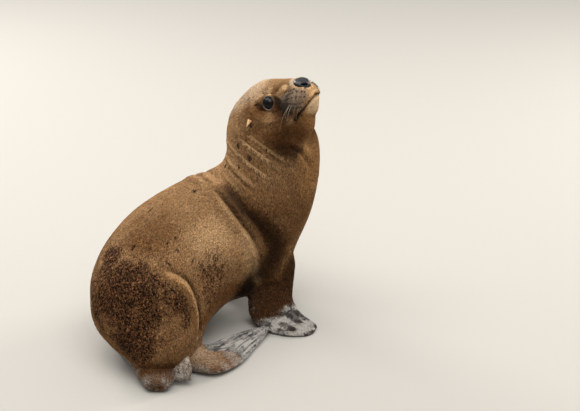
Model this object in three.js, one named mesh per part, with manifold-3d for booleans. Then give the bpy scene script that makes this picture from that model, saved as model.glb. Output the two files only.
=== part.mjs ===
// A young sea lion that sits with its head raised and turned, life size, as a still display model.
// Millimetres, +Z up. The pose is set out in a working frame: x runs to the side that the nose points
// to, and y runs away from the tail. At the end it is turned so that the trunk lies along +X.
import * as THREE from 'three';
import { mergeVertices } from 'three/addons/utils/BufferGeometryUtils.js';
import Module from 'manifold-3d';

const wasm = await Module();
wasm.setup();
const { Manifold, Mesh } = wasm;

const v = (x, y, z) => new THREE.Vector3(x, y, z);
const { clamp, degToRad, lerp } = THREE.MathUtils;

// ---------------------------------------------------------------- driving dimensions
const GAP = 0.3;
const TRUNK_HEADING = 50;

// Stations along the back half of the body, from the root of the tail to the skull.
const SPINE = [
  { at: v(-205, -225, 88), r: 80 },
  { at: v(-236, -140, 151), r: 140 },
  { at: v(-199, -38, 193), r: 150 },
  { at: v(-115, 66, 216), r: 149 },
  { at: v(-12, 118, 260), r: 134 },
  { at: v(28, 118, 325), r: 116 },
  { at: v(40, 109, 410), r: 97 },
  { at: v(32, 98, 488), r: 86 },
  { at: v(42, 92, 528), r: 68 },
];
// Stations down the front, from under the jaw over the throat to the breast between the arms.
const FRONT = [
  { at: v(90, 90, 500), r: 60 },
  { at: v(84, 122, 420), r: 90 },
  { at: v(66, 132, 330), r: 95 },
  { at: v(40, 132, 250), r: 94 },
  { at: v(12, 125, 188), r: 88 },
];
// The belly fills the space between the thighs and the breast, and rests on the floor.
const BELLY = [
  { at: v(-215, -95, 110), r: 112 },
  { at: v(-174, 6, 117), r: 115 },
  { at: v(-108, 78, 132), r: 104 },
  { at: v(-40, 55, 135), r: 78 },
];
const THIGHS = [
  { hip: { at: v(-208, -150, 112), r: 102 }, heel: { at: v(-166, -182, 62), r: 56 } },
  { hip: { at: v(-262, -150, 115), r: 96 }, heel: { at: v(-226, -222, 66), r: 54 } },
];
const SHOULDER = { at: v(38, 90, 212), r: 72 };
const ELBOW = { at: v(54, 64, 122), r: 46 };
// The path that the body's rings are hung on, as far as the neck.
const CORE = [
  v(-215, -195, 95), v(-225, -120, 140), v(-185, -30, 172), v(-100, 68, 200), v(0, 120, 255),
  v(48, 125, 330), v(60, 115, 420), v(55, 100, 495),
];
// The breast's middle plane, which the left arm mirrors the right arm in.
const BREAST = { middle: v(38, 125, 250), left: v(-0.5, Math.sqrt(0.75), 0) };
const CUTS = {
  nape: { at: v(50, 95, 498), up: v(0.33, -0.05, 0.94) },
  withers: { at: v(40, 120, 352), up: v(0.38, 0.05, 0.92) },
};

// The head has its own axes: f forward along the muzzle, l to its left, u up through the crown.
const SKULL = v(50, 90, 538);
const HEAD = { heading: -30, pitch: 39, roll: 4 };
const SIDES = { right: -1, left: 1 };
const EYE = { f: 50, u: 19, r: 18, sunk: 15 };
const EAR = { f: 2, u: 13, length: 24, width: 15, sunk: 2, flat: 0.4, lie: { f: -0.62, l: 0.5, u: -0.6 } };
const NOSE = {
  f: 128.5, u: 12, deep: 14, width: 22, high: 17, narrowing: 0.5, lean: 0.5, squareness: 0.8,
};

// Each limb is stretched between two edges, the leading edge first; `thick` is half its thickness.
const ARM = {
  edges: [
    [v(88, 105, 225), v(112, 92, 140), v(108, 84, 80), v(108, 60, 38), v(130, 36, 14), v(152, 12, 8),
      v(169, -14, 6), v(161, -46, 5)],
    [v(2, 55, 215), v(2, 45, 125), v(-4, 28, 72), v(0, -8, 32), v(28, -36, 12), v(64, -56, 7),
      v(104, -66, 6), v(142, -62, 5)],
  ],
  thick: [40, 38, 34, 25, 13, 8.5, 7, 5],
};
const FEET = {
  right: {
    edges: [
      [v(-185, -215, 58), v(-135, -240, 28), v(-75, -256, 18), v(-22, -213, 11), v(16, -132, 9),
        v(53, -54, 18)],
      [v(-215, -120, 66), v(-165, -150, 34), v(-105, -146, 22), v(-68, -96, 12), v(-24, -62, 12),
        v(40, -42, 19)],
    ],
    thick: [34, 30, 22, 12, 8, 5],
  },
  left: {
    edges: [
      [v(-185, -324, 16), v(-166, -290, 24), v(-185, -240, 26), v(-215, -160, 14), v(-245, -80, 8),
        v(-302, 20, 5)],
      [v(-231, -322, 16), v(-256, -286, 24), v(-272, -235, 26), v(-305, -170, 14), v(-336, -90, 8),
        v(-322, 10, 5)],
    ],
    thick: [15, 27, 28, 14, 8, 5],
  },
};
const TAIL = {
  edges: [
    [v(-165, -215, 92), v(-142, -248, 66), v(-128, -270, 42), v(-130, -290, 20)],
    [v(-215, -225, 92), v(-190, -254, 66), v(-174, -274, 42), v(-165, -293, 20)],
  ],
  thick: [26, 19, 13, 8],
};
const TOES = { digits: 5, from: 0.45, ridge: 0.5, notch: 0.08 };

// ---------------------------------------------------------------- forms: distances to a surface
const ball = (centre, radius) => (p) => p.distanceTo(centre) - radius;

function egg(centre, radii, [x, y, z]) {
  const least = Math.min(radii.x, radii.y, radii.z);
  return (p) => {
    const d = p.clone().sub(centre);
    return (v(d.dot(x) / radii.x, d.dot(y) / radii.y, d.dot(z) / radii.z).length() - 1) * least;
  };
}

function taper(a, b) {
  const axis = b.at.clone().sub(a.at);
  const lengthSq = axis.lengthSq();
  return (p) => {
    const share = clamp(p.clone().sub(a.at).dot(axis) / lengthSq, 0, 1);
    return p.distanceTo(a.at.clone().addScaledVector(axis, share)) - lerp(a.r, b.r, share);
  };
}

function sweep(stations, steps) {
  const path = new THREE.CatmullRomCurve3(stations.map((s) => s.at), false, 'centripetal');
  const sizes = new THREE.SplineCurve(stations.map((s, i) => new THREE.Vector2(i, s.r)));
  const at = (share) => ({ at: path.getPoint(share), r: sizes.getPoint(share).y });
  const pieces = Array.from({ length: steps }, (_, i) => taper(at(i / steps), at((i + 1) / steps)));
  return (p) => Math.min(...pieces.map((piece) => piece(p)));
}

// The union of forms, with the angles where they meet filled in over a width.
function melt(width, ...forms) {
  return (p) => forms.map((form) => form(p)).reduce((a, b) => {
    const near = Math.max(width - Math.abs(a - b), 0);
    return Math.min(a, b) - near * near / (4 * width);
  });
}

// The distance from a point inside a form to its surface, in one direction.
function reach(form, from, direction) {
  const [mostSteps, caution, close] = [60, 0.9, 0.02];
  let out = 0;
  for (let step = 0; step < mostSteps; step++) {
    const gap = -form(from.clone().addScaledVector(direction, out));
    out += gap * caution;
    if (Math.abs(gap) < close) break;
  }
  return out;
}

// ---------------------------------------------------------------- the head and body as forms
function headAxes({ heading, pitch, roll }) {
  const left = v(-Math.sin(degToRad(heading)), Math.cos(degToRad(heading)), 0);
  const level = left.clone().cross(v(0, 0, 1));
  const forward = level.multiplyScalar(Math.cos(degToRad(pitch))).setZ(Math.sin(degToRad(pitch)));
  left.applyAxisAngle(forward, degToRad(roll));
  return [forward, left, forward.clone().cross(left)];
}
const HEAD_AXES = headAxes(HEAD);
const alongHead = (f, l, u) => v(0, 0, 0).addScaledVector(HEAD_AXES[0], f)
  .addScaledVector(HEAD_AXES[1], l).addScaledVector(HEAD_AXES[2], u);
const onHead = (f, l, u) => alongHead(f, l, u).add(SKULL);
const headStation = (f, u, r) => ({ at: onHead(f, 0, u), r });
const bothSides = (make) => Object.values(SIDES).map(make);

function mirrored(p) {
  return p.clone().addScaledVector(BREAST.left, -2 * p.clone().sub(BREAST.middle).dot(BREAST.left));
}
const mirroredStation = ({ at, r }) => ({ at: mirrored(at), r });

const headForm = melt(20,
  egg(onHead(-4, 0, 0), v(80, 69, 64), HEAD_AXES),
  taper(headStation(30, 19, 52), headStation(111, 9.5, 25)),
  taper(headStation(60, -16, 40), headStation(112, -13, 28)),
  taper(headStation(35, -40, 38), headStation(106, -45, 22)),
  ball(onHead(60, 0, -66), 33),
  ...bothSides((side) => ball(onHead(110, side * 20, -16), 27)),
  ...bothSides((side) => ball(onHead(15, side * 36, -26), 41)),
  ...bothSides((side) => ball(onHead(46, side * 33, 24), 22)),
);

const bodyForm = melt(30,
  melt(55, sweep(SPINE, 32), sweep(FRONT, 16), sweep(BELLY, 8)),
  ...THIGHS.map(({ hip, heel }) => taper(hip, heel)),
  taper(SHOULDER, ELBOW),
  taper(mirroredStation(SHOULDER), mirroredStation(ELBOW)),
  headForm,
);

// A point on the skin, level with (f, u) on one side of the head, moved in by `sunk`.
function onCheek({ f, u, sunk }, side) {
  const sideways = alongHead(0, side, 0);
  const from = onHead(f, 0, u);
  return from.addScaledVector(sideways, reach(bodyForm, from, sideways) - sunk);
}

// ---------------------------------------------------------------- closed surfaces
// A solid on a sphere's grid: place(t, u) puts the vertex at share t along and at angle u round.
function solid({ rings, sides }, place) {
  const sphere = new THREE.SphereGeometry(1, sides, rings);
  const { position, uv } = sphere.attributes;
  for (let i = 0; i < position.count; i++) {
    const t = Math.round((1 - uv.getY(i)) * rings) / rings;
    const atPole = t === 0 || t === 1;
    const p = place(t, atPole ? 0 : (uv.getX(i) % 1) * 2 * Math.PI);
    position.setXYZ(i, p.x, p.y, p.z);
  }
  sphere.deleteAttribute('normal');
  sphere.deleteAttribute('uv');
  const whole = mergeVertices(sphere);
  return new Manifold(new Mesh({
    numProp: 3,
    vertProperties: whole.attributes.position.array,
    triVerts: new Uint32Array(whole.index.array),
  }));
}

// A form's skin, found by looking out from a path inside it, in rings that turn slowly along the path.
function wrapped(form, path, { rings, sides, capRings, window, side }, grow) {
  const cap = capRings / rings;
  return solid({ rings, sides }, (t, u) => {
    const share = clamp((t - cap) / (1 - 2 * cap), 0, 1);
    const middle = path.getPointAt(share);
    const ahead = path.getPointAt(Math.min(share + window, 1))
      .sub(path.getPointAt(Math.max(share - window, 0))).normalize();
    const across = side.clone().addScaledVector(ahead, -side.dot(ahead)).normalize();
    const direction = across.clone().multiplyScalar(Math.cos(u))
      .addScaledVector(ahead.clone().cross(across), -Math.sin(u));
    const tilt = Math.max(cap - t, t - 1 + cap, 0) / cap * Math.PI / 2;
    direction.multiplyScalar(Math.cos(tilt))
      .addScaledVector(ahead, Math.sin(tilt) * Math.sign(t - 0.5));
    return middle.addScaledVector(direction, reach(form, middle, direction) + grow);
  });
}

// A limb between two edges. Past `from`, its top has a ridge for each digit, and its end is cut back
// between the digits.
function limb({ edges, thick }, { digits, from, ridge, notch, rings, sides }, grow) {
  const [leading, trailing] = edges.map((points) => new THREE.CatmullRomCurve3(points));
  const depths = new THREE.SplineCurve(thick.map((size, i) => new THREE.Vector2(i, size)));
  const middleAt = (t) => leading.getPoint(t).lerp(trailing.getPoint(t), 0.5);
  const look = 0.04;
  return solid({ rings, sides }, (t, u) => {
    if (t === 0 || t === 1) return middleAt(t);
    const digit = digits ? Math.abs(Math.sin(digits * Math.PI * (Math.cos(u) + 1) / 2)) : 1;
    const spread = clamp((t - from) / (1 - from), 0, 1);
    const share = (t * rings - 1) / (rings - 2) * (1 - notch * (1 - digit) * spread);
    const middle = middleAt(share);
    const half = leading.getPoint(share).sub(middle);
    const along = middleAt(Math.min(share + look, 1)).sub(middleAt(Math.max(share - look, 0)));
    const up = along.cross(half).normalize();
    const height = depths.getPoint(share).y * (1 + ridge * spread * (digit - 0.6)) + grow;
    return middle.addScaledVector(half, Math.cos(u) * (1 + grow / half.length()))
      .addScaledVector(up, -height * Math.sin(u));
  });
}

const eyeball = (side, grow) => solid({ rings: 10, sides: 14 }, (t, u) => onCheek(EYE, side)
  .add(new THREE.Vector3().setFromSphericalCoords(EYE.r + grow, t * Math.PI, u)));

// The ear is a small rolled cone that lies back along the neck.
function ear(side) {
  const root = onCheek(EAR, side);
  const lie = alongHead(EAR.lie.f, side * EAR.lie.l, EAR.lie.u).normalize();
  const across = lie.clone().cross(alongHead(0, 1, 0)).normalize();
  const out = lie.clone().cross(across);
  const fullest = 0.8;
  return solid({ rings: 9, sides: 8 }, (t, u) => {
    const half = EAR.width / 2 * Math.sqrt(Math.sin(Math.PI * t ** fullest));
    const depth = Math.sin(u) > 0 ? EAR.flat : 1;
    return root.clone().addScaledVector(lie, EAR.length * t)
      .addScaledVector(across, half * Math.cos(u)).addScaledVector(out, -half * depth * Math.sin(u));
  });
}

// The bare pad of the nose is wide across its top, narrow below, and leans back.
const nosePad = (grow) => solid({ rings: 12, sides: 16 }, (t, u) => {
  const squared = (value) => Math.sign(value) * Math.abs(value) ** NOSE.squareness;
  const radius = Math.sin(t * Math.PI);
  const up = squared(Math.sin(u)) * radius;
  const width = NOSE.width * (1 + Math.min(up, 0) * NOSE.narrowing) + grow;
  return onHead(
    NOSE.f - (NOSE.deep + grow) * Math.cos(t * Math.PI) - NOSE.lean * NOSE.high * up,
    -width * squared(Math.cos(u)) * radius,
    NOSE.u + (NOSE.high + grow) * up,
  );
});

// ---------------------------------------------------------------- the parts
// The two sides of a thin flat cut, the upper side first.
function parted(made, { at, up }) {
  const normal = up.clone().normalize();
  const height = at.dot(normal);
  return [
    made.trimByPlane(normal.toArray(), height + GAP / 2),
    made.trimByPlane(normal.clone().negate().toArray(), GAP / 2 - height),
  ];
}

const corePath = new THREE.CatmullRomCurve3(
  [...CORE, onHead(15, 0, -8), onHead(60, 0, -12), onHead(92, 0, -14)], false, 'centripetal');
const body = (grow) => wrapped(bodyForm, corePath,
  { rings: 62, sides: 28, capRings: 6, window: 0.09, side: BREAST.left }, grow);
const plain = { digits: 0, from: 0, ridge: 0, notch: 0 };
const arm = (edges) => limb({ ...ARM, edges }, { ...plain, rings: 20, sides: 18 }, 0);
const foot = (side, grow) => limb(FEET[side], { ...TOES, rings: 19, sides: 22 }, grow);
const tail = limb(TAIL, { ...plain, rings: 11, sides: 12 }, 0);
const bothEyes = (grow) => Manifold.union(bothSides((side) => eyeball(side, grow)));

const [wholeHead, rest] = parted(body(0), CUTS.nape);
const [neck, trunk] = parted(rest, CUTS.withers);
const bodyAndGap = body(GAP);
const fleshLimb = (made) => made.subtract(bodyAndGap);
const COAT = { color: 0x7a5a3c, roughness: 0.85 };
const BARE = { color: 0x3a3536, roughness: 0.6 };
const WET = { color: 0x0c0a0a, roughness: 0.1 };

const parts = [
  ['head', wholeHead.subtract(bothEyes(GAP)).subtract(nosePad(GAP)), COAT],
  ['neck', neck, COAT],
  ['trunk', trunk, COAT],
  ['tail', fleshLimb(tail.subtract(foot('left', GAP)).subtract(foot('right', GAP))), COAT],
  ['nose_pad', nosePad(0), BARE],
  ['eye_right', eyeball(SIDES.right, 0), WET],
  ['eye_left', eyeball(SIDES.left, 0), WET],
  ['ear_right', fleshLimb(ear(SIDES.right)), COAT],
  ['ear_left', fleshLimb(ear(SIDES.left)), COAT],
  ['fore_flipper_right', fleshLimb(arm(ARM.edges)), BARE],
  ['fore_flipper_left', fleshLimb(arm([...ARM.edges].reverse().map((edge) => edge.map(mirrored)))), BARE],
  ['hind_flipper_right', fleshLimb(foot('right', 0)), BARE],
  ['hind_flipper_left', fleshLimb(foot('left', 0)), BARE],
];

function meshOf(name, made, finish) {
  const { vertProperties, triVerts } = made.getMesh();
  const geometry = new THREE.BufferGeometry();
  geometry.setAttribute('position', new THREE.BufferAttribute(vertProperties, 3));
  geometry.setIndex(new THREE.BufferAttribute(triVerts, 1));
  const mesh = new THREE.Mesh(geometry, new THREE.MeshStandardMaterial({ metalness: 0, ...finish }));
  mesh.name = name;
  return mesh;
}

const group = new THREE.Group();
const UPWARD = [0, 0, 1];
for (const [name, made, finish] of parts) group.add(meshOf(name, made.trimByPlane(UPWARD, 0), finish));
group.rotation.z = -degToRad(TRUNK_HEADING);
group.updateMatrixWorld(true);
const middle = new THREE.Box3().setFromObject(group, true).getCenter(new THREE.Vector3());
group.position.set(-middle.x, -middle.y, 0);

export default group;
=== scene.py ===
"""A young sea lion, life size, sitting with its body curled and its head raised and turned.

One skin replaces the solids of flesh. It lies inside them by the depth of the coat, and the coat is
thin tufts of solid mesh over it. Places on the body are shares of the frame's box, and places on the
head are millimetres along the head's own axes, which follow the eyes and nose of the frame.
"""
import math

import bmesh
import bpy
import numpy as np
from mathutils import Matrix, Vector, noise
from mathutils.bvhtree import BVHTree


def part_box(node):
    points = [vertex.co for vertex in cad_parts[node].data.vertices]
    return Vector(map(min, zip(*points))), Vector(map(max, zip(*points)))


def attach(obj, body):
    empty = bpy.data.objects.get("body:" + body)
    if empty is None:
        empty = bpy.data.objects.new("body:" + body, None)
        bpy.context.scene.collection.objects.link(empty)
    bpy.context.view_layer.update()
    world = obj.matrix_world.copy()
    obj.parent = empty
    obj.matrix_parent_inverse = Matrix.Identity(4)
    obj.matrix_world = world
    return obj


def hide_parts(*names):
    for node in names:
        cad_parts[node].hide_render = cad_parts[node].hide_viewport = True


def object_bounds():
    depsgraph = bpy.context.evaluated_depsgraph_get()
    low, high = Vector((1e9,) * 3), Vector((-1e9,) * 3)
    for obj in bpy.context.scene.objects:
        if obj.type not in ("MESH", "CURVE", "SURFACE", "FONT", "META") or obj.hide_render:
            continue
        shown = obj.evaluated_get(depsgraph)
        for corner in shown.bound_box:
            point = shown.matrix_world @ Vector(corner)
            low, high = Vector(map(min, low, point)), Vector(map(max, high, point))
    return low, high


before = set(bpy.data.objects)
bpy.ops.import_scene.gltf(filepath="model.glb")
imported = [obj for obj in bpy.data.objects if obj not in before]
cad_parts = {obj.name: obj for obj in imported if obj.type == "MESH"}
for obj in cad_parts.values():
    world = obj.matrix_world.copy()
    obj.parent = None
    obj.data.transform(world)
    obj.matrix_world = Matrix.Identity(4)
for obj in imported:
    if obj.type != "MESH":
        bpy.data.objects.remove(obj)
CAD_BOX = [list(corner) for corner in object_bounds()]
LOW, HIGH = (np.array(corner) for corner in CAD_BOX)

MM = 0.001
SIDES = {"right": -1, "left": 1}
LIMBS = [f"{end}_flipper_{side}" for end in ("fore", "hind") for side in SIDES]
FORE_LIMBS = LIMBS[:2]
FLESH = ["head", "neck", "trunk", "tail", "ear_right", "ear_left", *LIMBS]
rng = np.random.default_rng(12)


# ------------------------------------------------------------------ small sums
def unit(vectors):
    vectors = np.asarray(vectors, float)
    return vectors / np.maximum(np.linalg.norm(vectors, axis=-1, keepdims=True), 1e-9)


def rise(value, start, end):
    """0 before start and 1 after end, with a smooth step between."""
    share = np.clip((value - start) / (end - start), 0, 1)
    return share * share * (3 - 2 * share)


def bell(value, width):
    return np.exp(-((value / width) ** 2))


def at(*shares):
    """A place, or a row of places, given as shares of the frame's box."""
    return LOW + (HIGH - LOW) * np.array(shares)


def curve_through(points, count=60):
    """Evenly numbered points on a smooth curve through a few."""
    points = np.asarray(points, float)
    padded = np.vstack([2 * points[0] - points[1], points, 2 * points[-1] - points[-2]])
    spans = len(points) - 1
    place = np.linspace(0, spans - 1e-6, count)
    first = place.astype(int)
    t = (place - first)[:, None]
    a, b, c, d = (padded[first + step] for step in range(4))
    return 0.5 * (
        2 * b + (c - a) * t + (2 * a - 5 * b + 4 * c - d) * t**2 + (3 * b - a - 3 * c + d) * t**3
    )


def wander(points, size, seed):
    """Smooth noise from -1 to 1 over places, with lumps of one size."""
    shifted = points / size + seed * 7.3
    return np.array([noise.noise(Vector(place)) for place in shifted.tolist()])


# ------------------------------------------------------------------ the head's own axes
def middle(node):
    low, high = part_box(node)
    return (np.array(low) + np.array(high)) / 2


EYE_AT = {side: middle(f"eye_{side}") for side in SIDES}
EYE_RADIUS = 18 * MM
BETWEEN_EYES = (EYE_AT["right"] + EYE_AT["left"]) / 2
LEFTWARD = unit(EYE_AT["left"] - EYE_AT["right"])
TO_NOSE = middle("nose_pad") - BETWEEN_EYES
TO_NOSE = unit(TO_NOSE - LEFTWARD * (TO_NOSE @ LEFTWARD))
# The middle of the nose lies this far below the eyes' level, and this far before them, in mm.
NOSE_DROP = math.atan2(9.8, 80.8)
FORWARD = TO_NOSE * math.cos(NOSE_DROP) + np.cross(TO_NOSE, LEFTWARD) * math.sin(NOSE_DROP)
CROWN = np.cross(FORWARD, LEFTWARD)
HEAD_AXES = np.array([FORWARD, LEFTWARD, CROWN])
# The left eye in the head's axes: forward, leftward, up.
EYE_CENTRE = np.array((50, 45.6, 19))
SKULL = BETWEEN_EYES - (FORWARD * EYE_CENTRE[0] + CROWN * EYE_CENTRE[2]) * MM


def in_head(points):
    """Places in the head's axes, in millimetres: forward, leftward, up through the crown."""
    return (points - SKULL) @ HEAD_AXES.T / MM


def from_head(places):
    return SKULL + np.asarray(places, float) @ HEAD_AXES * MM


def folded(head_places):
    """The same places with both sides of the head laid on the left one."""
    return head_places * (1, 0, 1) + np.abs(head_places) * (0, 1, 0)


# ------------------------------------------------------------------ the body's lines
SPINE = at(
    (0.802, 0.173, 0.980),
    (0.776, 0.393, 0.838),
    (0.800, 0.405, 0.720),
    (0.815, 0.412, 0.640),
    (0.815, 0.448, 0.514),
    (0.761, 0.524, 0.397),
    (0.600, 0.622, 0.312),
    (0.399, 0.627, 0.268),
    (0.252, 0.565, 0.218),
    (0.173, 0.438, 0.148),
    (0.138, 0.177, 0.028),
)
LIMB_LINES = {
    "fore_flipper_right": at(
        (0.763, 0.414, 0.330),
        (0.748, 0.348, 0.190),
        (0.703, 0.292, 0.055),
        (0.700, 0.129, 0.012),
        (0.706, 0.005, 0.008),
    ),
    "hind_flipper_right": at(
        (0.221, 0.452, 0.097),
        (0.238, 0.325, 0.048),
        (0.291, 0.211, 0.031),
        (0.391, 0.201, 0.017),
        (0.500, 0.213, 0.016),
        (0.607, 0.197, 0.028),
    ),
    "hind_flipper_left": at(
        (0.028, 0.238, 0.025),
        (0.111, 0.399, 0.041),
        (0.164, 0.560, 0.022),
        (0.229, 0.730, 0.012),
        (0.326, 0.915, 0.008),
    ),
}
FORE = {side: middle(f"fore_flipper_{side}") for side in SIDES}
BREAST_ACROSS = unit((FORE["left"] - FORE["right"]) * (1, 1, 0))
BREAST_MIDDLE = (FORE["left"] + FORE["right"]) / 2


def over_breast(points):
    """Places mirrored in the upright plane between the fore flippers."""
    return points - 2 * ((points - BREAST_MIDDLE) @ BREAST_ACROSS)[:, None] * BREAST_ACROSS


LIMB_LINES["fore_flipper_left"] = over_breast(LIMB_LINES["fore_flipper_right"])


# ------------------------------------------------------------------ meshes
def scene_object(name, data):
    made = bpy.data.objects.new(name, data)
    bpy.context.scene.collection.objects.link(made)
    return made


def finished(form, name):
    """A mesh of a bmesh form, which is freed."""
    mesh = bpy.data.meshes.new(name)
    form.to_mesh(mesh)
    form.free()
    return mesh


def grown_copy(node, grow):
    """A frame solid's own surface, closed up and grown a little."""
    form = bmesh.new()
    form.from_mesh(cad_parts[node].data)
    bmesh.ops.remove_doubles(form, verts=form.verts, dist=0.01 * MM)
    form.normal_update()
    for vertex in form.verts:
        vertex.co += vertex.normal * grow
    return finished(form, node + "_form")


def joined(meshes):
    form = bmesh.new()
    for mesh in meshes:
        form.from_mesh(mesh)
    return finished(form, "joined_form")


def modified(holder):
    """The mesh of an object after its modifiers. The object is removed."""
    evaluated = holder.evaluated_get(bpy.context.evaluated_depsgraph_get())
    mesh = bpy.data.meshes.new_from_object(evaluated)
    bpy.data.objects.remove(holder)
    return mesh


def with_modifier(mesh, kind, **settings):
    """The mesh after one modifier."""
    holder = scene_object("modified_form", mesh)
    modifier = holder.modifiers.new("shape", kind)
    for name, value in settings.items():
        setattr(modifier, name, value)
    return modified(holder)


def refined(mesh, near):
    """The mesh with its edges halved where near(places) is true, and cut into triangles."""
    form = bmesh.new()
    form.from_mesh(mesh)
    form.verts.ensure_lookup_table()
    inside = near(np.array([v.co for v in form.verts]))
    edges = [e for e in form.edges if inside[e.verts[0].index] and inside[e.verts[1].index]]
    bmesh.ops.subdivide_edges(form, edges=edges, cuts=1, use_grid_fill=True)
    bmesh.ops.triangulate(form, faces=form.faces)
    return finished(form, "refined_form")


def places_of(mesh):
    places = np.empty(len(mesh.vertices) * 3)
    mesh.vertices.foreach_get("co", places)
    return places.reshape(-1, 3)


def set_places(mesh, places):
    mesh.vertices.foreach_set("co", places.ravel())
    mesh.update()


def triangles_of(mesh):
    mesh.calc_loop_triangles()
    corners = np.empty(len(mesh.loop_triangles) * 3, np.int32)
    mesh.loop_triangles.foreach_get("vertices", corners)
    return corners.reshape(-1, 3)


def edges_of(mesh):
    ends = np.empty(len(mesh.edges) * 2, np.int32)
    mesh.edges.foreach_get("vertices", ends)
    return ends.reshape(-1, 2)


def normals_of(places, triangles):
    a, b, c = (places[triangles[:, corner]] for corner in range(3))
    faces = np.cross(b - a, c - a)
    total = np.zeros_like(places)
    for axis in range(3):
        total[:, axis] = np.bincount(
            triangles.ravel(), weights=np.repeat(faces[:, axis], 3), minlength=len(places)
        )
    return unit(total)


def relaxed(values, edges, share, rounds):
    """Values at the vertices, each moved by a share towards its neighbours' mean, many times."""
    ends = np.concatenate([edges[:, 0], edges[:, 1]])
    others = np.concatenate([edges[:, 1], edges[:, 0]])
    count = np.maximum(np.bincount(ends, minlength=len(values)), 1)
    share = np.broadcast_to(share, len(values))[:, None]
    for _ in range(rounds):
        mean = np.column_stack(
            [np.bincount(ends, weights=column[others], minlength=len(values)) for column in values.T]
        )
        values = values + share * (mean / count[:, None] - values)
    return values


def distance_to(mesh, places, limit):
    """How far each place is from a mesh, up to a limit."""
    tree = BVHTree.FromPolygons(
        [v.co for v in mesh.vertices], [p.vertices for p in mesh.polygons]
    )
    result = np.full(len(places), limit)
    box_low = places_of(mesh).min(0) - limit
    box_high = places_of(mesh).max(0) + limit
    near = np.nonzero(((places > box_low) & (places < box_high)).all(1))[0]
    for index in near:
        hit = tree.find_nearest(Vector(places[index]), limit)
        if hit[0] is not None:
            result[index] = hit[3]
    return result


def nearest_on(line, places, block=4000):
    """For each place: its distance from a line of points, and the number of the nearest point."""
    distance = np.empty(len(places))
    number = np.empty(len(places), int)
    for start in range(0, len(places), block):
        part = places[start:start + block]
        gaps = ((part[:, None] - line[None]) ** 2).sum(2)
        nearest = gaps.argmin(1)
        number[start:start + block] = nearest
        distance[start:start + block] = np.sqrt(gaps[np.arange(len(part)), nearest])
    return distance, number


# ------------------------------------------------------------------ the skin's form
VOXEL = 3.0 * MM
GROW = 0.4 * MM
KEEP_SHARE = 0.55
NAPE_FROM = at(0.79, 0.43, 0.58)
# In the head's axes, for the left side: forward, sideways, up.
MOUTH = np.array((
    (139, -4, -29), (137, 7, -31), (133, 20, -33), (124, 31, -35),
    (109, 35, -39), (92, 35, -43), (76, 34, -49), (68, 35, -54),
))


def plain_form():
    """One closed surface round the solids of flesh but the ears, and round the eyes, smoothed,
    with more points on the face.
    """
    forms = {node: grown_copy(node, GROW) for node in FLESH}
    filling = [grown_copy(f"eye_{side}", 0) for side in SIDES]
    solid = joined([forms[node] for node in FLESH if "ear" not in node] + filling)
    mesh = with_modifier(solid, "REMESH", mode="VOXEL", voxel_size=VOXEL)

    places = places_of(mesh)
    limbs = np.min([distance_to(forms[node], places, 40 * MM) for node in LIMBS + ["tail"]], axis=0)
    head = distance_to(forms["head"], places, 60 * MM)
    soft = np.minimum(rise(limbs, 2 * MM, 26 * MM), rise(head, 2 * MM, 50 * MM))
    set_places(mesh, relaxed(places, edges_of(mesh), 0.05 + 0.5 * soft, 70))

    holder = scene_object("thinned_form", mesh)
    group = holder.vertex_groups.new(name="plain")
    nape = (places[:, 2] > NAPE_FROM[2]) & ((places - NAPE_FROM) @ (1, -1, 0) < 0)
    plain = (limbs > 8 * MM) & (head > 8 * MM) & ~nape
    group.add(np.nonzero(plain)[0].tolist(), 1.0, "REPLACE")
    thin = holder.modifiers.new("thin", "DECIMATE")
    thin.ratio = KEEP_SHARE
    thin.vertex_group = "plain"
    mesh = modified(holder)
    for near in (on_face, on_features, on_lids):
        mesh = refined(mesh, near)
    return mesh


def on_face(places):
    place = in_head(places)
    return (place[:, 0] > 28) & (place[:, 2] > -66)


def on_features(places):
    place = folded(in_head(places))
    by_mouth = nearest_on(curve_through(MOUTH), place)[0] < 9
    return by_mouth | (np.linalg.norm(place - EYE_CENTRE, axis=1) < 27) | (place[:, 0] > 126)


def on_lids(places):
    place = folded(in_head(places))
    return np.linalg.norm(place - (57, 62, 22), axis=1) < 17


class Surface:
    """A mesh's points, with what is needed to press folds into it."""

    def __init__(self, mesh, places=None):
        self.mesh = mesh
        self.triangles = triangles_of(mesh)
        self.edges = edges_of(mesh)
        self.moved_to(places_of(mesh) if places is None else places)

    def moved_to(self, places):
        self.places = places
        self.normals = normals_of(places, self.triangles)
        self.head = in_head(places)
        self.face = folded(self.head)
        self.tree = BVHTree.FromPolygons(places.tolist(), self.triangles.tolist())

    def nearest(self, points):
        return np.array([self.tree.find_nearest(Vector(point))[0] for point in points])

    def beside(self, points, count=70):
        """How far each point lies from a line on the surface, in mm, plus on the line's left and
        minus on its right as seen from outside, and how far along it the point is, from 0 to 1."""
        line = self.nearest(curve_through(points, count))
        distance, number = nearest_on(line, self.places)
        heading = unit(np.gradient(line, axis=0))[number]
        leftward = np.cross(self.normals, heading)
        offset = ((self.places - line[number]) * leftward).sum(1)
        return np.sign(offset) * distance / MM, number / (count - 1)

    def spot(self, centre, radii, soft=0.45):
        """1 inside an egg in the head's axes, on both sides, falling to 0 outside it."""
        reach = np.linalg.norm((self.face - centre) / radii, axis=1)
        return 1 - rise(reach, 1 - soft, 1 + soft)


def tapered(share, start=0.15, end=0.15):
    return rise(share, 0, start) * (1 - rise(share, 1 - end, 1))


def relaxed_form():
    form = Surface(plain_form())
    face = 0.3 * rise(form.head[:, 0], 10, 30)
    return Surface(form.mesh, relaxed(form.places, form.edges, face, 14))


skin_form = relaxed_form()


# ------------------------------------------------------------------ folds and features
NECK_ACROSS = unit(LEFTWARD * (1, 1, 0) + BREAST_ACROSS)
NECK_FRONT = np.cross(NECK_ACROSS, (0, 0, 1))
NECK_MIDDLE = at(0.791, 0.432, 0.65)
NECK_SLOPE = 0.68
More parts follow.
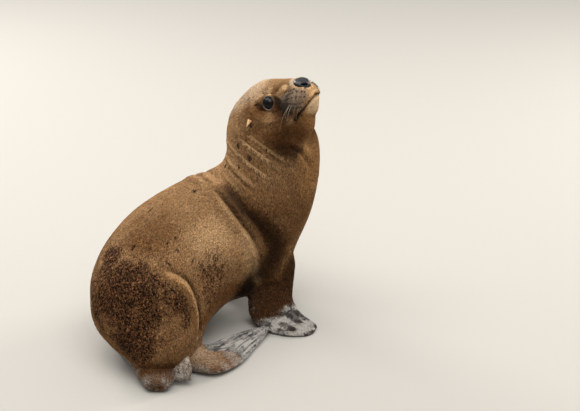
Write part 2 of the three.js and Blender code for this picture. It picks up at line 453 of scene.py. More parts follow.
# Each fold's level in mm at the neck's middle, its strength, its half width in mm, and how far in front
# of the middle it starts and ends.
NECK_FOLDS = (
    (474, 1.0, 3.0, -56, 70),
    (444.5, 1.2, 3.0, -78, 30),
    (400, 1.1, 3.2, -108, 12),
    (352.5, 0.7, 6.5, -108, -15),
    (311, 0.5, 6.0, -115, -50),
)
SHOULDER_FOLD = at(
    (0.575, 0.607, 0.569),
    (0.561, 0.518, 0.552),
    (0.556, 0.436, 0.520),
    (0.561, 0.369, 0.477),
    (0.580, 0.320, 0.425),
    (0.597, 0.298, 0.381),
    (0.617, 0.295, 0.317),
    (0.650, 0.320, 0.230),
)
THIGH_FOLD = at(
    (0.165, 0.400, 0.410),
    (0.200, 0.342, 0.400),
    (0.240, 0.290, 0.357),
    (0.253, 0.255, 0.297),
    (0.262, 0.243, 0.233),
    (0.261, 0.244, 0.182),
    (0.239, 0.232, 0.137),
)
WATTLE_FOLD = at(
    (0.735, 0.215, 0.752),
    (0.754, 0.198, 0.741),
    (0.791, 0.177, 0.708),
    (0.820, 0.168, 0.667),
    (0.859, 0.171, 0.624),
)
# In the head's axes, for the left side: forward, sideways, up.
PAD_EDGE = np.array((
    (112, 12, 27), (99, 26, 21), (91, 36, 8), (85, 41, -6), (80, 42, -20), (74, 40, -34),
))
PAD_TOP_ROW = np.array(((97, 31, 15), (136, 17, -4)))
PAD_LOW_ROW = np.array(((87, 42, -15), (114, 39, -30)))
PAD_ROWS = 5
PAD_COLUMNS = 7
EAR_HOLE = (-6, 84, 2)
# The line of painted shade down the front of the shoulder to the armpit.
CHEST_LINE = at(
    (0.616, 0.590, 0.583),
    (0.611, 0.520, 0.568),
    (0.600, 0.440, 0.542),
    (0.604, 0.368, 0.504),
    (0.630, 0.312, 0.468),
    (0.658, 0.270, 0.425),
    (0.690, 0.248, 0.375),
    (0.701, 0.249, 0.312),
    (0.655, 0.306, 0.234),
)
# The line of painted shade under the throat, in the head's axes, for the left side.
THROAT_LINE = np.array(((-14, 80, -52), (2, 72, -72), (14, 50, -98), (16, 30, -116), (15, 18, -128)))


def sided(points, side):
    return points * np.array((1, side, 1))


def whisker_roots(form):
    """For each whisker: its side, its root, and its shares down the rows and along its row."""
    roots = []
    for side in SIDES.values():
        for row in np.linspace(0, 1, PAD_ROWS):
            rear, front = PAD_TOP_ROW * (1 - row) + PAD_LOW_ROW * row
            for column in np.linspace(0, 1, PAD_COLUMNS):
                place = from_head(sided(rear * (1 - column) + front * column, side))
                roots.append((side, form.nearest([place])[0], row, column))
    return roots


def over_neck(points):
    return points - 2 * ((points - NECK_MIDDLE) @ NECK_ACROSS)[:, None] * NECK_ACROSS


def neck_folds(places):
    """Rings of loose skin round the neck, lower in front: shares of crest and of hollow."""
    forward = (places - NECK_MIDDLE) @ NECK_FRONT
    level = places[:, 2] + NECK_SLOPE * forward + 3 * MM * wander(places, 70 * MM, 1)
    uneven = np.clip(0.95 + 0.6 * wander(places, 55 * MM, 2), 0, 1.3)
    crest, hollow = np.zeros((2, len(level)))
    for height, size, width, start, end in NECK_FOLDS:
        gap = (level - height * MM) / MM
        reach = rise(forward / MM, start, start + 24) * (1 - rise(forward / MM, end - 30, end))
        crest += size * bell(gap, width) * uneven * reach
        hollow += size * bell(gap + 5, 1.2 * width) * uneven * reach
    return crest, hollow


def body_folds(form):
    crest, hollow = neck_folds(form.places)
    lift = 2.8 * crest - 1.8 * hollow
    for line, wattle, turn in (
        (SHOULDER_FOLD, WATTLE_FOLD, 1),
        (over_breast(SHOULDER_FOLD), over_neck(WATTLE_FOLD), -1),
    ):
        gap, share = form.beside(line)
        gap = gap * turn
        edge = 3.8 * bell(gap + 5, 13) - 5.2 * bell(gap - 8, 5.5) * (1 - rise(share, 0.5, 0.8))
        beyond = 2.0 * bell(gap - 20, 7) - 3.2 * bell(gap - 34, 11)
        lift += edge * tapered(share, 0.5, 0.2) + beyond * tapered(share, 0.4, 0.4)
        gap, share = form.beside(wattle)
        gap = gap * turn
        lift += (3.4 * bell(gap - 9, 10) - 3.6 * bell(gap + 3, 4)) * tapered(share, 0.2, 0.35)
    gap, share = form.beside(THIGH_FOLD)
    lift += (3.4 * bell(gap + 9, 11) - 5.0 * bell(gap - 5, 7)) * tapered(share, 0.35, 0.1)
    return lift


def face_folds(form):
    """The muzzle, lips, cheeks and brow, the same on both sides."""
    spot = form.spot
    lift = 2.0 * spot((54, 57, 19), (26, 22, 26), 0.7) + 1.6 * spot((64, 37, 41), (14, 10, 8), 0.6)
    lift += 1.2 * spot((42, 66, -9), (18, 15, 12), 0.8) - 2.0 * spot((78, 42, 6), (9, 12, 20), 0.6)
    lift += 2.6 * spot((110, 38, -14), (22, 14, 20), 0.6) - 2.0 * spot(EAR_HOLE, (6, 6, 5), 0.5)
    for side in SIDES.values():
        this_side = rise(form.head[:, 1] * side, -4, 1)
        gap, share = form.beside(from_head(sided(MOUTH, side)))
        gap = gap * side
        line = 1.8 * bell(gap - 6, 5) - 5.5 * bell(gap, 2.0) - 1.4 * bell(gap + 5, 3.5)
        lift += line * tapered(share, 0.01, 0.2) * this_side
        gap, share = form.beside(from_head(sided(PAD_EDGE, side)))
        lift -= 1.6 * bell(gap, 4) * tapered(share, 0.3, 0.3) * this_side
    muzzle_front = rise(form.head[:, 0], 126, 134) * rise(form.head[:, 2], -32, -26)
    return lift - 1.8 * bell(form.head[:, 1], 1.6) * muzzle_front


# The way the left eye looks in the head's axes, and the sines of the half angles of its opening,
# forward and up.
GAZE = (0.43, 0.87, 0.17)
OPENING = (math.sin(math.radians(48)), math.sin(math.radians(62)))
EYE_TILT = math.radians(35)
LID = 0.9 * MM
LID_REGION = 45 * MM


def eye_axes(sign):
    """The way an eye looks, and the ways forward and up across its opening."""
    outward = unit(sided(GAZE, sign) @ HEAD_AXES)
    upward = unit(CROWN - outward * (CROWN @ outward))
    front = np.cross(outward, upward) * sign
    lean, rest = math.sin(EYE_TILT), math.cos(EYE_TILT)
    return outward, front * rest - upward * lean, upward * rest + front * lean


def opened_eyes(places):
    """Lays the lids over each ball, and draws the skin in behind its opening."""
    for side, sign in SIDES.items():
        outward, front, upward = eye_axes(sign)
        arm = places - EYE_AT[side]
        reach = np.linalg.norm(arm, axis=1)
        near = (reach < LID_REGION) & (arm @ outward > 0)
        way = arm[near] / reach[near][:, None]
        reach = reach[near]
        ring = np.hypot(way @ front / OPENING[0], way @ upward / OPENING[1])
        rim = EYE_RADIUS + LID
        over = reach - rim
        over = 0.5 * (over + np.hypot(over, 5 * MM)) * rise(ring, 1.04, 1.55)
        crease = 0.8 * MM * bell(ring - 1.42, 0.08) * rise(way @ upward, -0.2, 0.3)
        target = rim + over - crease
        target = EYE_RADIUS - 3 * MM + (target - EYE_RADIUS + 3 * MM) * rise(ring, 0.94, 1.0)
        places[near] = EYE_AT[side] + way * target[:, None]
    return places


# ------------------------------------------------------------------ the limbs' own measures
DIGITS = 5
BARE_FROM = {"fore": 0.58, "hind": 0.55}


def measured_limb(form, node):
    """How much each point belongs to a limb, its share down it, its share across it from -1 to 1,
    and the way that the limb runs there."""
    gap = distance_to(grown_copy(node, GROW), form.places, 40 * MM)
    line = curve_through(LIMB_LINES[node], 60)
    _, number = nearest_on(line, form.places)
    heading = unit(np.gradient(line, axis=0))
    sideways = unit(np.cross((0, 0, 1), heading))
    offset = ((form.places - line[number]) * sideways[number]).sum(1)
    own = gap < 3 * MM
    low, high = np.full(60, 1e-3), np.full(60, 1e-3)
    np.maximum.at(high, number[own], offset[own])
    np.maximum.at(low, number[own], -offset[own])
    centre, half = (high - low) / 2, (high + low) / 2
    across = np.clip((offset - centre[number]) / half[number], -1, 1)
    return {"gap": gap, "share": number / 59, "across": across, "heading": heading[number]}


def toe_ridges(form, limbs):
    """A ridge over each digit and a groove between two, on the bare end of each limb."""
    lift = np.zeros(len(form.places))
    grooves = np.zeros(len(form.places))
    for node, limb in limbs.items():
        size = 2.3 if "hind" in node else 1.3
        start = BARE_FROM[node.split("_")[0]]
        spread = rise(limb["share"], start - 0.12, start + 0.2) * (limb["gap"] < 4 * MM)
        between = np.cos(np.pi * DIGITS * (limb["across"] + 1))
        upward = rise(form.normals[:, 2], 0.1, 0.5)
        lift += size * (-between) * spread * upward
        grooves = np.maximum(grooves, rise(between, -0.3, 0.8) * spread)
    return lift, grooves


# ------------------------------------------------------------------ where the coat changes, and painted shade and highlights
def coat_lie(form, limbs, spine, number):
    """The way the coat lies at each point: from the nose to the tail, and down the limbs."""
    way = unit(np.gradient(spine, axis=0))[number] + (0, 0, -0.35)
    for limb in limbs.values():
        own = 1 - rise(limb["gap"], 2 * MM, 30 * MM)
        way = way * (1 - own[:, None]) + limb["heading"] * own[:, None]
    from_nose = (form.head - (150, 0, 20)) @ HEAD_AXES
    on_head = 1 - rise(number / (len(spine) - 1), 0.10, 0.22)
    way = way * (1 - on_head[:, None]) + unit(from_nose) * on_head[:, None]
    for _ in range(3):
        way = relaxed(way, form.edges, 0.5, 8)
        way = unit(way - form.normals * (way * form.normals).sum(1)[:, None])
    return way


def most(*shares):
    return np.maximum.reduce(shares)


# Large patches on the body: the middle as shares of the box, and the half sizes in mm.
HIP_PATCHES = (
    ((0.094, 0.489, 0.297), (88, 102, 93)),
    ((0.150, 0.670, 0.415), (34, 40, 34)),
    ((0.190, 0.265, 0.290), (34, 30, 44)),
    ((0.017, 0.420, 0.180), (46, 62, 52)),
)
BELLY_PATCH = ((0.392, 0.310, 0.300), (62, 50, 76))
FOOT_TOP = ((0.245, 0.190, 0.075), (46, 40, 26))
UNDER_PATCH = ((0.440, 0.360, 0.150), (150, 95, 62))
LOW_REAR = ((0.090, 0.300, 0.150), (150, 120, 80))
HEEL = ((0.060, 0.260, 0.050), (70, 60, 42))
# A paler flank: partly its own tone, partly a painted highlight where the flank bulges to the light.
PALE_LIT_SIDE = ((0.450, 0.380, 0.430), (66, 50, 56))
DULL_BACK = ((0.235, 0.560, 0.495), (84, 60, 52))
# Painted shade in the armpit, where the fore flipper meets the body.
ARMPIT_SHADE = ((0.608, 0.360, 0.190), (32, 42, 56))
BREAST_PATCH = ((0.755, 0.240, 0.440), (75, 60, 80))
# Spots on both sides of the head: the strength, the middle and the half sizes in the head's axes, and
# how soft the edge is.
HEAD_SPOTS = {
    "brown": (
        # Painted shade under the jaw.
        (0.90, (36, 50, -72), (62, 52, 50), 0.45),  # under the jaw
        (1.00, (29, 65, 15), (30, 20, 28), 0.90),  # the temple
        (0.85, (56, 55, 14), (36, 26, 36), 0.75),  # round the eye
        (1.00, (62, 52, -33), (40, 30, 26), 0.90),  # the cheek
        (0.85, (84, 24, 32), (28, 18, 13), 0.70),  # beside the bridge
        (0.60, (28, 74, -4), (34, 20, 26), 0.70),  # before the ear
    ),
    "dark": (
        (0.97, (76, 43, -1), (14, 15, 36), 0.45),  # before the eye
        (0.55, (34, 66, 16), (18, 16, 22), 0.60),  # behind the eye
        # Painted shade on the jaw.
        (0.50, (44, 54, -62), (30, 26, 26), 0.70),  # the jaw
        (0.35, (60, 54, -32), (32, 26, 18), 0.60),  # the cheek
        (0.50, (110, 34, -10), (34, 28, 28), 0.40),  # the whisker pad
        # Painted shade in the ear's opening.
        (0.90, EAR_HOLE, (6, 6, 5), 0.40),
    ),
    "pale": (
        (0.85, (64, 36, 42), (10, 8, 6), 0.40),  # the brow
        (0.40, (46, 62, 2), (8, 8, 4.5), 0.70),  # under the eye
        (0.22, (41, 68, -10), (16, 12, 10), 0.95),  # the cheekbone
        (0.75, (97, 24, 27), (9, 8, 7), 0.70),  # beside the bridge
        (0.10, (112, 34, -8), (32, 28, 26), 0.40),  # the whisker pad
        # The upper lip's pale fur, brightened as a painted highlight.
        (0.60, (136, 10, -16), (16, 16, 16), 0.60),  # the upper lip
        (0.32, (66, 42, -42), (12, 9, 8), 0.90),  # the corner of the mouth
        # The chin's pale fur, made lighter still as a painted highlight.
        (1.30, (122, 6, -48), (20, 28, 16), 0.50),  # the chin
    ),
    "dust_and_highlight": (
        (0.20, (112, 36, -8), (30, 26, 24), 0.40),  # the whisker pad
        # A painted highlight on the chin, in the pale grey tone.
        (0.25, (122, 6, -48), (16, 24, 13), 0.50),  # the chin
    ),
}


class MarkingsAndPaintedLight:
    """What the coat's tones are worked out from, and the tones themselves: a share from 0 to 1 at
    each point of a form. Some tones are the coat's own colour, and some are painted shade and
    painted highlights."""

    def __init__(self, form, limbs, grooves):
        self.form = form
        self.level = form.places[:, 2] / MM
        self.forward = (form.places - NECK_MIDDLE) @ NECK_FRONT / MM
        self.blur = 0.20 * self.noise(34, 3) + 0.14 * self.noise(9, 4)
        self.clump = self.noise(5, 6)
        self.cloud = self.noise(24, 9)
        self.grooves = grooves
        self.measure_limbs(limbs)
        self.measure_folds()
        self.measure_throat()
        self.measure_head()

    def noise(self, size, seed):
        return wander(self.form.places, size * MM, seed)

    def patch(self, place, soft=0.2, ragged=1.0):
        """1 inside a large patch, falling to 0 over its ragged edge."""
        centre, sizes = place
        reach = np.linalg.norm((self.form.places - at(*centre)) / MM / sizes, axis=1)
        return 1 - rise(reach + ragged * (self.blur + 0.15 * self.clump), 1 - soft, 1 + soft)

    def head_spots(self, tone):
        return most(*(share * self.form.spot(*spot) for share, *spot in HEAD_SPOTS[tone]))

    def measure_limbs(self, limbs):
        """The bare ends, the furred arms and feet, the dusty streaks, and the arms' blades."""
        self.bare, self.arms, self.feet, self.streaks, self.blades = np.zeros((5, len(self.level)))
        for node, limb in limbs.items():
            start = BARE_FROM[node.split("_")[0]]
            if node == "hind_flipper_right":
                start = start - 0.2 * rise(limb["across"], -0.3, 0.5)
            own = 1 - rise(limb["gap"], 1 * MM, 8 * MM)
            end = rise(limb["share"] + 0.2 * self.blur, start - 0.04, start + 0.04)
            self.bare = np.maximum(self.bare, own * end)
            if node in FORE_LIMBS:
                own = 1 - rise(limb["gap"], 4 * MM, 34 * MM)
                self.arms = np.maximum(self.arms, own * rise(limb["share"], 0.0, 0.25))
                self.blades = np.maximum(self.blades, limb["share"] * (limb["gap"] < 4 * MM))
                continue
            self.feet = np.maximum(self.feet, own)
            drawn = np.column_stack([limb["share"] * 50, limb["across"] * 64, limb["share"] * 0])
            streak = 0.9 * rise(wander(drawn, 7, 11), 0.05, 0.25)
            groove = 0.8 * self.grooves * rise(self.clump, -0.5, 0.3)
            self.streaks = np.maximum(self.streaks, own * most(streak, groove))

    def measure_folds(self):
        """The folds of thigh, shoulder and neck, a golden painted highlight on the raised side of the
        first two, and the large patches beside them.
        """
        self.thigh, self.along_thigh = self.form.beside(THIGH_FOLD)
        self.shoulder, self.along_shoulder = self.form.beside(SHOULDER_FOLD)
        self.crest, self.hollow = neck_folds(self.form.places)
        # Painted highlight: a golden band along the raised, lit side of the thigh and shoulder folds.
        # The wet hip patch gives way to it.
        self.lit_fold_edge = most(
            0.9 * bell(self.thigh + 13, 15) * tapered(self.along_thigh, 0.3, 0.2),
            0.5 * bell(self.shoulder + 22, 26) * rise(self.along_shoulder, 0.45, 0.8),
        )
        self.hip = most(*(self.patch(place, 0.3, 2.0) for place in HIP_PATCHES))
        self.hip = self.hip * (1 - 0.9 * self.lit_fold_edge)
        hanging = wander(self.form.places * (1, 1, 0.35), 8 * MM, 12)
        self.belly = self.patch(BELLY_PATCH, 0.45, 1.2) * rise(hanging, -0.7, 0.2)
        self.wet = most(self.hip, 0.9 * self.belly, 0.25 * self.arms)
        self.under = self.patch(UNDER_PATCH)
        self.dull = self.patch(DULL_BACK, 0.6)

    def measure_throat(self):
        """Painted shade along the deep lines down the chest and under the throat. They fade on the
        left.
        """
        self.chest, self.chest_core, self.throat = np.zeros((3, len(self.level)))
        for line, start in ((CHEST_LINE, 0.04), (over_breast(CHEST_LINE), 0.35)):
            gap, along = self.form.beside(line)
            gap = np.abs(gap) + 8 * self.blur
            edge = bell(gap, 15 + 40 * along) * rise(along, start, start + 0.12)
            core = bell(gap, 9 + 36 * along) * rise(along, start, start + 0.2)
            self.chest = np.maximum(self.chest, edge)
            self.chest_core = np.maximum(self.chest_core, core)
        for side in SIDES.values():
            gap, along = self.form.beside(from_head(sided(THROAT_LINE, side)))
            gap = np.abs(gap) + 14 * self.blur
            reach = tapered(along, 0.4, 0.2) * rise(self.form.head[:, 1] * side, -3, 3)
            if side == SIDES["left"]:
                reach = reach * (1 - rise(along, 0.25, 0.45))
            self.throat = np.maximum(self.throat, bell(gap, 27) * reach)

    def measure_head(self):
        """The lips, the whiskers' roots, the skin round the nose, and the crown."""
        form = self.form
        # Dark lips, and painted shade under the overhanging pad that widens towards the mouth's corner.
        self.lips = np.zeros(len(self.level))
        for side in SIDES.values():
            gap, along = form.beside(from_head(sided(MOUTH, side)))
            width = 2.8 + 4.2 * rise(along, 0.2, 0.8)
            self.lips = np.maximum(self.lips, bell(gap, width) * (1 - rise(along, 0.9, 1)))
        roots = np.array([root for _, root, _, _ in whisker_roots(form)])
        self.dots = bell(nearest_on(roots, form.places)[0] / MM, 2.6)
        from_nose = np.linalg.norm(form.places - middle("nose_pad"), axis=1) / MM
        self.by_nose = 1 - rise(from_nose, 25, 34)
        # The crown is paler: partly its own tone, partly a painted highlight from the light overhead.
        self.crown = rise(form.face[:, 2] + 12 * self.blur, 40, 66)
        self.crown = self.crown * (1 - rise(form.face[:, 0], 35, 75))

    def gold(self):
        breast = rise(self.forward, 62, 90) * rise(self.level, 300, 360)
        # The first share is the painted highlight beside the folds.
        return most(self.lit_fold_edge, 0.5 * self.under, 0.85 * breast) * (1 - 0.9 * self.feet)

    def brown(self):
        brown = most(
            0.45 * self.patch(HIP_PATCHES[0], 0.35),
            0.3 * self.patch(LOW_REAR, 0.4),
            0.9 * self.patch(HEEL, 0.4),
            0.5 * self.patch(BREAST_PATCH, 0.5),
            0.7 * self.under,
            0.6 * self.dull,
            # The furred arms: dark brown coat, darkened further as painted shade.
            0.95 * self.arms,
            0.75 * self.feet,
            # Painted shade in the hollows between the neck's folds.
            0.7 * self.hollow,
            # Painted shade beside the deep lines down the chest.
            0.95 * self.chest,
            self.head_spots("brown"),
        )
        return np.clip(brown * (1 + 0.7 * self.blur), 0, 1)

    def dark(self):
        return most(
            0.42 * self.hip,
            0.5 * self.grooves * self.hip,
            0.35 * self.belly,
            # The furred arms, darkened as painted shade.
            0.7 * self.arms,
            0.35 * self.patch(HEEL, 0.4),
            # Painted shade in the armpit.
            self.patch(ARMPIT_SHADE, 0.4, 0.5),
            # Painted shade in the valleys of the shoulder fold and the thigh fold.
            0.9 * bell(self.shoulder - 8, 5) * tapered(self.along_shoulder, 0.25, 0.4),
            0.7 * bell(self.thigh - 7, 6) * tapered(self.along_thigh, 0.4, 0.1),
            # Painted shade down the chest and under the throat.
            0.88 * self.chest_core,
            0.75 * self.throat,
            # The dark lips, with painted shade in the mouth's crease.
            self.lips,
            0.97 * self.dots,
            self.head_spots("dark"),
        )

    def pale(self):
        nape = rise(-self.forward, 50, 90) * rise(self.level, 360, 430)
        # Upward faces of the back are paler: sun-bleached coat and a painted highlight from above.
        topside = rise(self.form.normals[:, 2], 0.4, 0.9) * rise(self.level, 230, 330)
        # Painted highlight on the raised, lit side of the shoulder fold.
        blade = bell(self.shoulder + 16, 18) * rise(self.along_shoulder, 0.4, 0.6)
        pale = most(
            # The crown: partly its own pale tone, partly painted highlight.
            0.75 * self.crown,
            0.5 * nape,
            0.1 * topside * (1 - self.dull),
            0.65 * blade * (1 - self.under),
            # A paler flank, partly a painted highlight.
            0.55 * self.patch(PALE_LIT_SIDE, 0.85, 0.6),
            0.25 * self.patch(FOOT_TOP, 0.5),
            # Painted highlights on the crests of the shoulder and thigh folds.
            0.3 * bell(self.shoulder + 4, 8) * tapered(self.along_shoulder, 0.4, 0.3),
            0.3 * bell(self.thigh + 6, 4) * tapered(self.along_thigh, 0.4, 0.1),
            # Painted highlight on the crests of the neck's folds.
            0.45 * self.crest,
            # The pale fur round the nose, brightened as a painted highlight.
            0.85 * self.by_nose,
            self.head_spots("pale"),
        )
        pale = np.clip(pale * (1 + 0.8 * self.blur), 0, 1)
        return pale * (1 - self.lips) * (1 - self.wet) * (1 - 0.9 * self.dots)

    # Sand on the coat and flippers, and a painted highlight on the crown, the chin and round the nose.
    def dust_and_highlight(self):
        clump, cloud = self.clump, self.cloud
        low = (1 - rise(self.level, 3, 34)) * rise(self.noise(14, 5) + 0.5 * clump, -0.2, 0.4)
        frost = (1 - rise(self.level, 60, 120)) * self.under * rise(clump, 0.0, 0.5)
        thigh = bell(self.thigh - 2, 6) * rise(self.along_thigh, 0.62, 0.8)
        from_tail = distance_to(grown_copy("tail", GROW), self.form.places, 20 * MM)
        tail = 1 - rise(from_tail, 1 * MM, 6 * MM)
        blades = self.bare * rise(self.blades, 0.5, 0.6) * rise(cloud + 0.4 * clump, -0.15, 0.25)
        feet = self.feet * (1 - rise(self.level, 20, 48)) * rise(cloud + 0.3 * clump, -0.3, 0.2)
        dust_and_highlight = most(
            0.85 * low * (1 - 0.5 * self.bare),
            0.5 * frost,
            0.6 * thigh * rise(clump, -0.1, 0.4),
            0.75 * tail * rise(clump, -0.6, 0.2),
            0.85 * blades,
            0.45 * feet,
            self.streaks * self.bare,
            0.2 * self.patch(FOOT_TOP, 0.6) * (1 - self.bare),
            # The crown greyed and lightened: partly its own tone, partly painted highlight.
            0.35 * self.crown,
            # Painted highlight along the top of the rim round the nose.
            0.5 * self.by_nose * rise(self.form.head[:, 2], 8, 22),
            self.head_spots("dust_and_highlight"),
        )
        return dust_and_highlight * (1 - 0.9 * self.dots)


def coat_tones(form, limbs, grooves):
    marks = MarkingsAndPaintedLight(form, limbs, grooves)
    return {
        "gold": marks.gold(),
        "brown": marks.brown(),
        "dark": marks.dark(),
        "pale": marks.pale(),
        "dust_and_highlight": marks.dust_and_highlight(),
        "wet": marks.wet,
        "bare": marks.bare,
    }


# ------------------------------------------------------------------ the skin, pressed into shape
COAT_DEPTH = 1.3 * MM

spine = curve_through(SPINE, 120)
_, spine_number = nearest_on(spine, skin_form.places)
limbs = {node: measured_limb(skin_form, node) for node in LIMBS}
ridges, grooves = toe_ridges(skin_form, limbs)
tone = coat_tones(skin_form, limbs, grooves)
lie = coat_lie(skin_form, limbs, spine, spine_number)
facial = rise(skin_form.head[:, 0], -30, 40)
lift = (body_folds(skin_form) + face_folds(skin_form) + ridges) * MM
lift += 0.5 * MM * wander(skin_form.places, 26 * MM, 8) * (1 - tone["bare"])
lift -= COAT_DEPTH * (1 - tone["bare"]) * (1 - 0.5 * facial)
places = opened_eyes(skin_form.places + skin_form.normals * lift[:, None])
places[:, 2] = np.maximum(places[:, 2], 0)
skin_form.moved_to(places)
set_places(skin_form.mesh, places)


# ------------------------------------------------------------------ materials
def node_in(tree, kind, **settings):
    node = tree.nodes.new(kind)
    for name, value in settings.items():
        setattr(node, name, value)
    return node


def fed(tree, socket, value):
    """Links a socket to another one, or gives it a plain value."""
    if isinstance(value, bpy.types.NodeSocket):
        tree.links.new(value, socket)
    elif isinstance(value, tuple):
        socket.default_value = (*value, 1)
    else:
        socket.default_value = value


def mixed(tree, share, first, second, blend="MIX"):
    """The colour that two colours mix to."""
    mix = node_in(tree, "ShaderNodeMix", data_type="RGBA", blend_type=blend)
    for value, number in ((share, 0), (first, 6), (second, 7)):
        fed(tree, mix.inputs[number], value)
    return mix.outputs[2]


def worked(tree, operation, *values, clamp=False):
    """The result of one sum."""
    sum_node = node_in(tree, "ShaderNodeMath", operation=operation, use_clamp=clamp)
    for value, socket in zip(values, sum_node.inputs):
        fed(tree, socket, value)
    return sum_node.outputs[0]


def grain(tree, size, detail):
    """Noise from 0 to 1 on the object's own coordinates, with lumps of about one size."""
    noise_node = node_in(tree, "ShaderNodeTexNoise")
    fed(tree, noise_node.inputs["Vector"], node_in(tree, "ShaderNodeTexCoord").outputs["Object"])
    noise_node.inputs["Scale"].default_value = 1 / size
    noise_node.inputs["Detail"].default_value = detail
    return noise_node.outputs["Fac"]


def grey(tree, value):
    combined = node_in(tree, "ShaderNodeCombineColor")
    for socket in combined.inputs:
        fed(tree, socket, value)
    return combined.outputs[0]


def read_three(tree, name):
    """The three numbers of a vector attribute."""
    read = node_in(tree, "ShaderNodeAttribute", attribute_name=name)
    split = node_in(tree, "ShaderNodeSeparateXYZ")
    fed(tree, split.inputs[0], read.outputs["Vector"])
    return split.outputs


TAN = (0.338, 0.195, 0.093)
DEEP_TAN = (0.235, 0.115, 0.042)
TONES = {
    "gold": (0.362, 0.188, 0.071),
    "brown": (0.125, 0.048, 0.012),
    "wet": (0.108, 0.047, 0.019),
    "pale": (0.700, 0.455, 0.235),
    "bare": (0.048, 0.048, 0.050),
    "dark": (0.019, 0.009, 0.004),
    # A pale grey: sand on the coat, and a painted highlight on the head.
    "dust_and_highlight": (0.420, 0.395, 0.360),
}
MARKS = {"marks_warm": ("gold", "brown", "dark"), "marks_cool": ("pale", "dust_and_highlight", "wet")}
RAGGED = {"wet": 0.9, "dust_and_highlight": 1.1, "brown": 0.8, "dark": 0.8}


def ramp(tree, share, start, change):
    """A value that goes from its start by a change as a share goes from 0 to 1."""
    return worked(tree, "MULTIPLY_ADD", share, change, start)


def coat_specks(tree, wet):
    """Fine noise, coarser where the coat is wet."""
    speck = grain(tree, 2.3 * MM, 2)
    coarse = worked(tree, "SUBTRACT", grain(tree, 4.0 * MM, 2), speck)
    return worked(tree, "MULTIPLY_ADD", coarse, worked(tree, "MULTIPLY", wet, 0.75), speck)


def with_ragged_edge(tree, share, clot, patchy):
    """A tone's share, broken up by noise where it is neither 0 nor 1."""
    ragged = worked(tree, "MULTIPLY_ADD", clot, patchy, -patchy / 2)
    inner = worked(tree, "MULTIPLY", share, worked(tree, "SUBTRACT", 1.0, share))
    ragged = worked(tree, "MULTIPLY", ragged, worked(tree, "MULTIPLY", inner, 4.0))
    return worked(tree, "ADD", share, ragged, clamp=True)


def strand_light(tree, wet, shade, tip):
    """How light each tuft is: tufts differ more where the coat is wet, and tips are lighter."""
    ground = ramp(tree, wet, 0.55, -0.34)
    bright = ramp(tree, wet, 1.0, 1.1)
    light = worked(tree, "MULTIPLY_ADD", worked(tree, "MULTIPLY", shade, shade), bright, ground)
    return worked(tree, "MULTIPLY_ADD", tip, 0.30, light)


def grain_light(tree, share, speck):
    """Dark specks between the hairs, sharper where the coat is wet and softer on plain skin."""
    sharp = ramp(tree, share["wet"], 5.4, 6.5)
    for name, softer in (("bare", -0.7), ("pale", -0.5), ("dust_and_highlight", -0.5)):
        sharp = worked(tree, "MULTIPLY", sharp, ramp(tree, share[name], 1.0, softer))
    grainy = worked(tree, "MULTIPLY", speck, ramp(tree, share["wet"], 2.22, -0.23))
    grainy = worked(tree, "POWER", grainy, sharp)
    return worked(tree, "MINIMUM", grainy, ramp(tree, share["wet"], 1.15, 1.2))


def coat_group():
    """The coat's markings and its painted shade and highlights, for the skin and the tufts alike."""
    tree = bpy.data.node_groups.new("coat_markings_and_painted_light", "ShaderNodeTree")
    for name, kind in (("Colour", "Color"), ("Roughness", "Float"), ("Height", "Float")):
        tree.interface.new_socket(name, in_out="OUTPUT", socket_type="NodeSocket" + kind)
    share = {}
    for attribute, names in MARKS.items():
        share.update(zip(names, read_three(tree, attribute)))
    share["bare"], shade, tip = read_three(tree, "strand")
    speck = coat_specks(tree, share["wet"])
    clot = grain(tree, 7 * MM, 3)
    for name, patchy in RAGGED.items():
        share[name] = with_ragged_edge(tree, share[name], clot, patchy)
    mottle = worked(tree, "MULTIPLY_ADD", grain(tree, 42 * MM, 4), 1.6, -0.4, clamp=True)
    colour = mixed(tree, mottle, TAN, DEEP_TAN)
    for name, tone_colour in TONES.items():
        colour = mixed(tree, share[name], colour, tone_colour)
    light = strand_light(tree, share["wet"], shade, tip)
    light = worked(tree, "MULTIPLY", light, grain_light(tree, share, speck))
    out = node_in(tree, "NodeGroupOutput")
    fed(tree, out.inputs["Colour"], mixed(tree, 1.0, colour, grey(tree, light), "MULTIPLY"))
    rough = ramp(tree, share["wet"], 0.72, -0.28)
    fed(tree, out.inputs["Roughness"], worked(tree, "MULTIPLY_ADD", share["bare"], -0.14, rough))
    fed(tree, out.inputs["Height"], speck)
    return tree


def shader_sockets(made):
    return made.node_tree.nodes["Principled BSDF"].inputs


def material(name, **constants):
    """A material whose plain values are named as its shader's sockets are."""
    made = bpy.data.materials.new(name)
    made.use_nodes = True
    for socket, value in constants.items():
        fed(made.node_tree, shader_sockets(made)[socket.replace("_", " ")], value)
    return made


def bumped(made, height, depth, strength):
    tree = made.node_tree
    bump = node_in(tree, "ShaderNodeBump")
    bump.inputs["Strength"].default_value = strength
    bump.inputs["Distance"].default_value = depth
    fed(tree, bump.inputs["Height"], height)
    fed(tree, shader_sockets(made)["Normal"], bump.outputs[0])


def coat_material(name, relief):
    made = material(name, Specular_IOR_Level=0.08)
    tree, sockets = made.node_tree, shader_sockets(made)
    marking = node_in(tree, "ShaderNodeGroup", node_tree=COAT_GROUP)
    fed(tree, sockets["Base Color"], marking.outputs["Colour"])
    fed(tree, sockets["Roughness"], marking.outputs["Roughness"])
    if relief:
        bumped(made, marking.outputs["Height"], relief, 0.6)
    return made


def shaded_material(name, attribute, low, high, **constants):
    """A material between two colours by the share kept in an attribute."""
    made = material(name, **constants)
    tree = made.node_tree
    read = node_in(tree, "ShaderNodeAttribute", attribute_name=attribute)
    fed(tree, shader_sockets(made)["Base Color"], mixed(tree, read.outputs["Fac"], low, high))
    return made


COAT_GROUP = coat_group()
skin_material = coat_material("skin_under_coat", 0.6 * MM)
tuft_material = coat_material("coat_tufts", 0)


